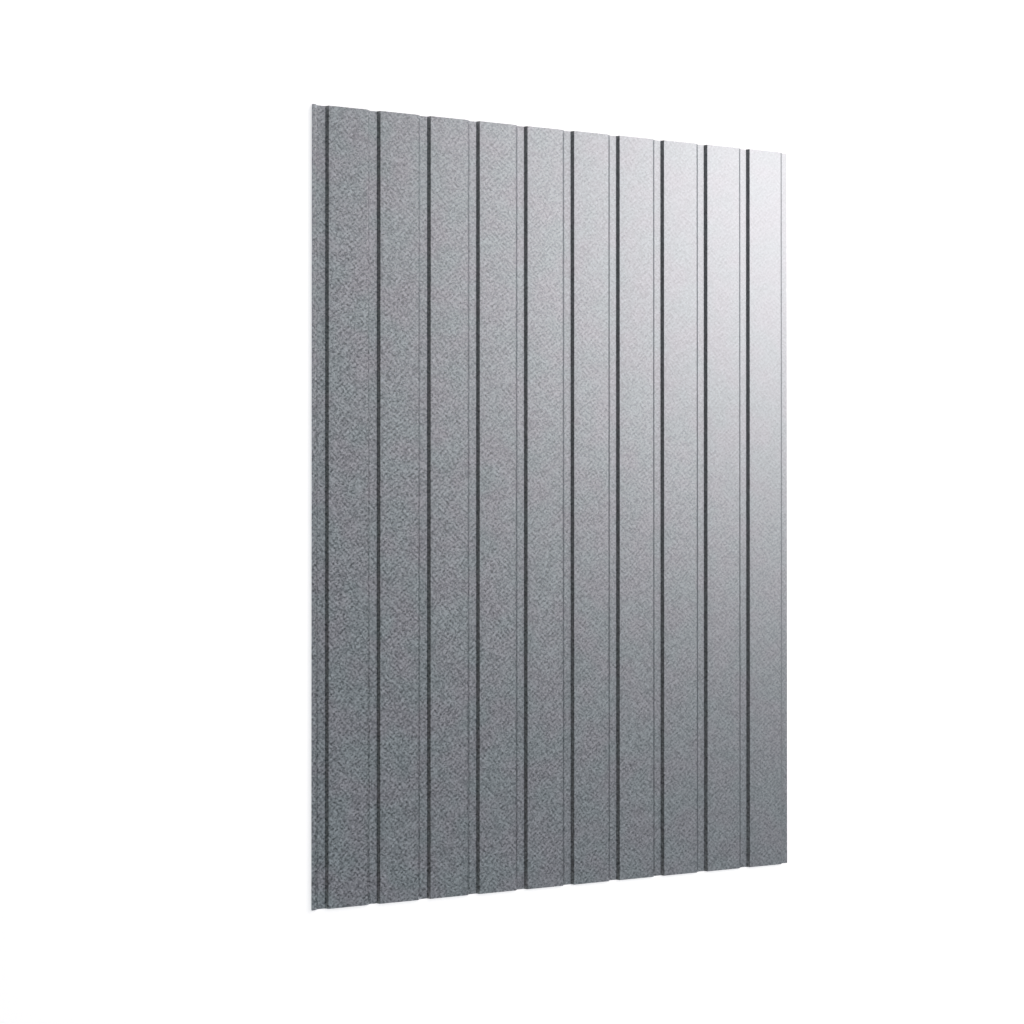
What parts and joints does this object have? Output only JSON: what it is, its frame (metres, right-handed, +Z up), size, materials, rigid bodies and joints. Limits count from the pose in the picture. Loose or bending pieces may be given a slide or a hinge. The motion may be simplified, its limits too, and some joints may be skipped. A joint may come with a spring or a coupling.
{
  "type": "corrugated metal sheet",
  "caption": "Galvanised steel wall or roof sheet with wide flat crests between narrow shallow valleys, and a lap strip along each long edge.",
  "frame": {"origin": "on the floor under the middle of the sheet, in the plane of the valleys' undersides", "axes": "+X across the ribs from the lip edge to the last valley's edge, +Y along the ribs, +Z up out of the crests"},
  "size_m": [1.21, 1.8, 0.007],
  "materials": {
    "galvanised_steel": "satin"
  },
  "bodies": {
    "root": {"corrugated_sheet": "galvanised_steel"}
  },
  "joints": []
}
